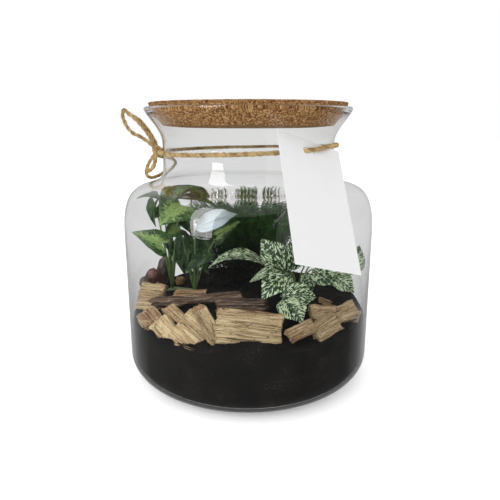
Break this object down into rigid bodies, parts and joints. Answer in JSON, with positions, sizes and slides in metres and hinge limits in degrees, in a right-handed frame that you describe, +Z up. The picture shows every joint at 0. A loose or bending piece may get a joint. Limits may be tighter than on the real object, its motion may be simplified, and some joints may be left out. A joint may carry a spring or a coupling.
{
  "type": "glass plant terrarium",
  "caption": "Wide round-shouldered glass jar with a flared neck and cork lid, planted with leafy plants and fern in dark soil with wood chips, jute bow and blank tag.",
  "frame": {"origin": "centre of the flat round face that the jar stands on", "axes": "+Z up along the jar's axis, -Y towards the front with the large wood chip, +X to the right, where the tag hangs"},
  "size_m": [0.25, 0.282, 0.2778],
  "materials": {
    "glass": "clear, polished",
    "cork": "dry pressed cork granules",
    "twine": "two-ply jute, hairy",
    "card": "plain light card, matte",
    "wood_chip": "raw split softwood, fibrous",
    "bark": "weathered bark, rough",
    "stone": "smooth pebble, dull",
    "husk": "dry fibrous husk",
    "arrowhead_leaf": "living leaf, pale centre, satin",
    "speckled_leaf": "living leaf, dark green with pale speckles, satin",
    "fern_leaf": "fine dark green foliage",
    "soil": "damp peaty potting soil, matte"
  },
  "bodies": {
    "root": {"jar_glass": "glass", "cork_lid": "cork", "twine_neck_wrap": "twine", "twine_knot": "twine", "twine_upper_loop": "twine", "twine_lower_loop": "twine", "twine_upper_tail": "twine", "twine_lower_tail": "twine", "card_tag": "card", "chip_front_large": "wood_chip", "chip_stick": "wood_chip", "chip_front_left": "wood_chip", "chip_yellow": "wood_chip", "chip_grey": "wood_chip", "chip_dark_end": "wood_chip", "chip_left_slab": "wood_chip", "chip_yellow_back": "wood_chip", "chip_sliver": "wood_chip", "chip_red": "wood_chip", "chip_right_pale": "wood_chip", "chip_right_broken": "wood_chip", "chip_right_brown": "wood_chip", "chip_right_end": "wood_chip", "chip_small_stick": "wood_chip", "chip_green_stick": "wood_chip", "bark_branch": "bark", "bark_chunk": "bark", "stone_grey": "stone", "stone_red": "stone", "stone_dark_tall": "stone", "husk_clump": "husk", "arrowhead_plant": "arrowhead_leaf", "speckled_plant": "speckled_leaf", "fern_frond_left": "fern_leaf", "fern_frond_low_left": "fern_leaf", "fern_frond_middle_left": "fern_leaf", "fern_frond_middle": "fern_leaf", "fern_frond_middle_right": "fern_leaf", "fern_frond_right": "fern_leaf", "fern_frond_back": "fern_leaf", "fern_frond_low": "fern_leaf", "soil": "soil"}
  },
  "joints": []
}
